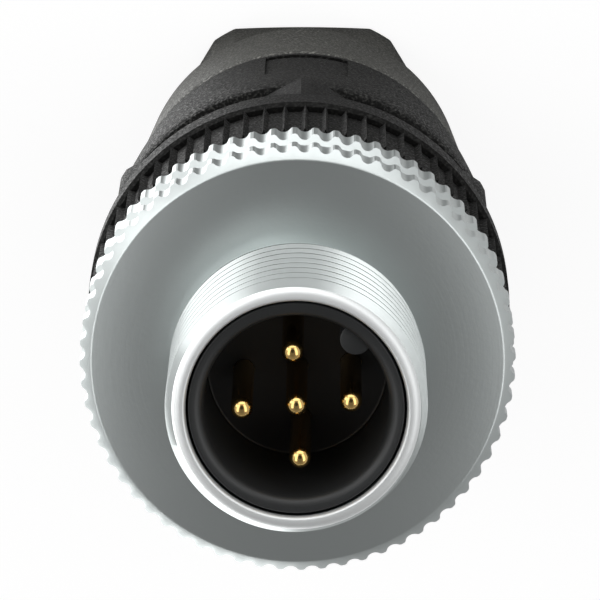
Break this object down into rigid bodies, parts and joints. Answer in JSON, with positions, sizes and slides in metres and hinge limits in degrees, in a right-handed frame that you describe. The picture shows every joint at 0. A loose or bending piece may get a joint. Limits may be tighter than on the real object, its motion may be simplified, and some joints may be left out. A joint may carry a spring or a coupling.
{
  "type": "circular connector",
  "caption": "M12 circular cable connector, male, field-wired, with a knurled metal coupling ring, gold contacts and black housing, open cable entry.",
  "frame": {"origin": "centre of the clamping nut's rear face, on the floor", "axes": "+Z along the connector's axis to the mating end; -Y is the side with the marker recess"},
  "size_m": [0.0206, 0.0206, 0.054],
  "materials": {
    "nickel_metal": "bright nickel plate, finely turned",
    "contact_gold": "gold plate, bright",
    "carrier_plastic": "black, smooth",
    "body_plastic": "black, fine speckled texture",
    "nut_plastic": "dark grey, fine matte texture",
    "block_plastic": "grey, smooth",
    "clamp_plastic": "dark grey, smooth",
    "seal_rubber": "black, matte",
    "spring_steel": "plain",
    "clamp_brass": "plain"
  },
  "bodies": {
    "carrier": {"grip_collar": "body_plastic", "contact_insert": "carrier_plastic", "insert_clip": "spring_steel", "ring_damper": "seal_rubber", "terminal_block": "block_plastic", "pin_1": "contact_gold", "pin_2": "contact_gold", "pin_3": "contact_gold", "pin_4": "contact_gold", "pin_5": "contact_gold"},
    "ring": {"coupling_ring": "nickel_metal"},
    "gasket_ring": {"sleeve_gasket": "seal_rubber"},
    "rear_sleeve": {"sleeve": "body_plastic", "cable_seal": "seal_rubber"},
    "clamp_basket": {"cable_clamp": "clamp_plastic", "thrust_washer": "body_plastic"},
    "rear_nut": {"clamping_nut": "nut_plastic"},
    "plate_1": {"wire_clamp_1": "clamp_brass"},
    "screw_1": {"terminal_screw_1": "spring_steel"},
    "plate_2": {"wire_clamp_2": "clamp_brass"},
    "screw_2": {"terminal_screw_2": "spring_steel"},
    "plate_3": {"wire_clamp_3": "clamp_brass"},
    "screw_3": {"terminal_screw_3": "spring_steel"},
    "plate_4": {"wire_clamp_4": "clamp_brass"},
    "screw_4": {"terminal_screw_4": "spring_steel"},
    "plate_5": {"wire_clamp_5": "clamp_brass"},
    "screw_5": {"terminal_screw_5": "spring_steel"}
  },
  "joints": [
    {"name": "ring_spin", "type": "hinge", "parent": "carrier", "child": "ring", "pos_m": [0, 0, 0.041], "axis": [0, 0, 1], "continuous": true},
    {"name": "sleeve_feed", "type": "slide", "parent": "carrier", "child": "gasket_ring", "axis": [0, 0, -1], "range_m": [0, 0.0025]},
    {"name": "sleeve_turn", "type": "hinge", "parent": "gasket_ring", "child": "rear_sleeve", "pos_m": [0, 0, 0.026], "axis": [0, 0, -1], "range_deg": [0, 900]},
    {"name": "nut_feed", "type": "slide", "parent": "rear_sleeve", "child": "clamp_basket", "axis": [0, 0, -1], "range_m": [0, 0.007]},
    {"name": "nut_turn", "type": "hinge", "parent": "clamp_basket", "child": "rear_nut", "pos_m": [0, 0, 0.009], "axis": [0, 0, -1], "range_deg": [0, 2520]},
    {"name": "clamp_feed_1", "type": "slide", "parent": "carrier", "child": "plate_1", "axis": [-0.9978, -0.0663, 0], "range_m": [0, 0.001]},
    {"name": "screw_turn_1", "type": "hinge", "parent": "plate_1", "child": "screw_1", "pos_m": [0.00549, 0.00036, 0.0186], "axis": [-0.9978, -0.0663, 0], "range_deg": [0, 1200]},
    {"name": "clamp_feed_2", "type": "slide", "parent": "carrier", "child": "plate_2", "axis": [0.0663, -0.9978, 0], "range_m": [0, 0.001]},
    {"name": "screw_turn_2", "type": "hinge", "parent": "plate_2", "child": "screw_2", "pos_m": [-0.00036, 0.00549, 0.0186], "axis": [0.0663, -0.9978, 0], "range_deg": [0, 1200]},
    {"name": "clamp_feed_3", "type": "slide", "parent": "carrier", "child": "plate_3", "axis": [0.9978, 0.0663, 0], "range_m": [0, 0.001]},
    {"name": "screw_turn_3", "type": "hinge", "parent": "plate_3", "child": "screw_3", "pos_m": [-0.00549, -0.00036, 0.0186], "axis": [0.9978, 0.0663, 0], "range_deg": [0, 1200]},
    {"name": "clamp_feed_4", "type": "slide", "parent": "carrier", "child": "plate_4", "axis": [-0.0663, 0.9978, 0], "range_m": [0, 0.001]},
    {"name": "screw_turn_4", "type": "hinge", "parent": "plate_4", "child": "screw_4", "pos_m": [0.00036, -0.00549, 0.0186], "axis": [-0.0663, 0.9978, 0], "range_deg": [0, 1200]},
    {"name": "clamp_feed_5", "type": "slide", "parent": "carrier", "child": "plate_5", "axis": [-0.6587, -0.7524, 0], "range_m": [0, 0.001]},
    {"name": "screw_turn_5", "type": "hinge", "parent": "plate_5", "child": "screw_5", "pos_m": [0.00362, 0.00414, 0.022], "axis": [-0.6587, -0.7524, 0], "range_deg": [0, 1200]}
  ],
  "couplings": [
    {"joint": "sleeve_turn", "follows": "sleeve_feed", "rad_per_m": 6283.2},
    {"joint": "nut_turn", "follows": "nut_feed", "rad_per_m": 6283.2},
    {"joint": "screw_turn_1", "follows": "clamp_feed_1", "rad_per_m": 20944},
    {"joint": "screw_turn_2", "follows": "clamp_feed_2", "rad_per_m": 20944},
    {"joint": "screw_turn_3", "follows": "clamp_feed_3", "rad_per_m": 20944},
    {"joint": "screw_turn_4", "follows": "clamp_feed_4", "rad_per_m": 20944},
    {"joint": "screw_turn_5", "follows": "clamp_feed_5", "rad_per_m": 20944}
  ]
}
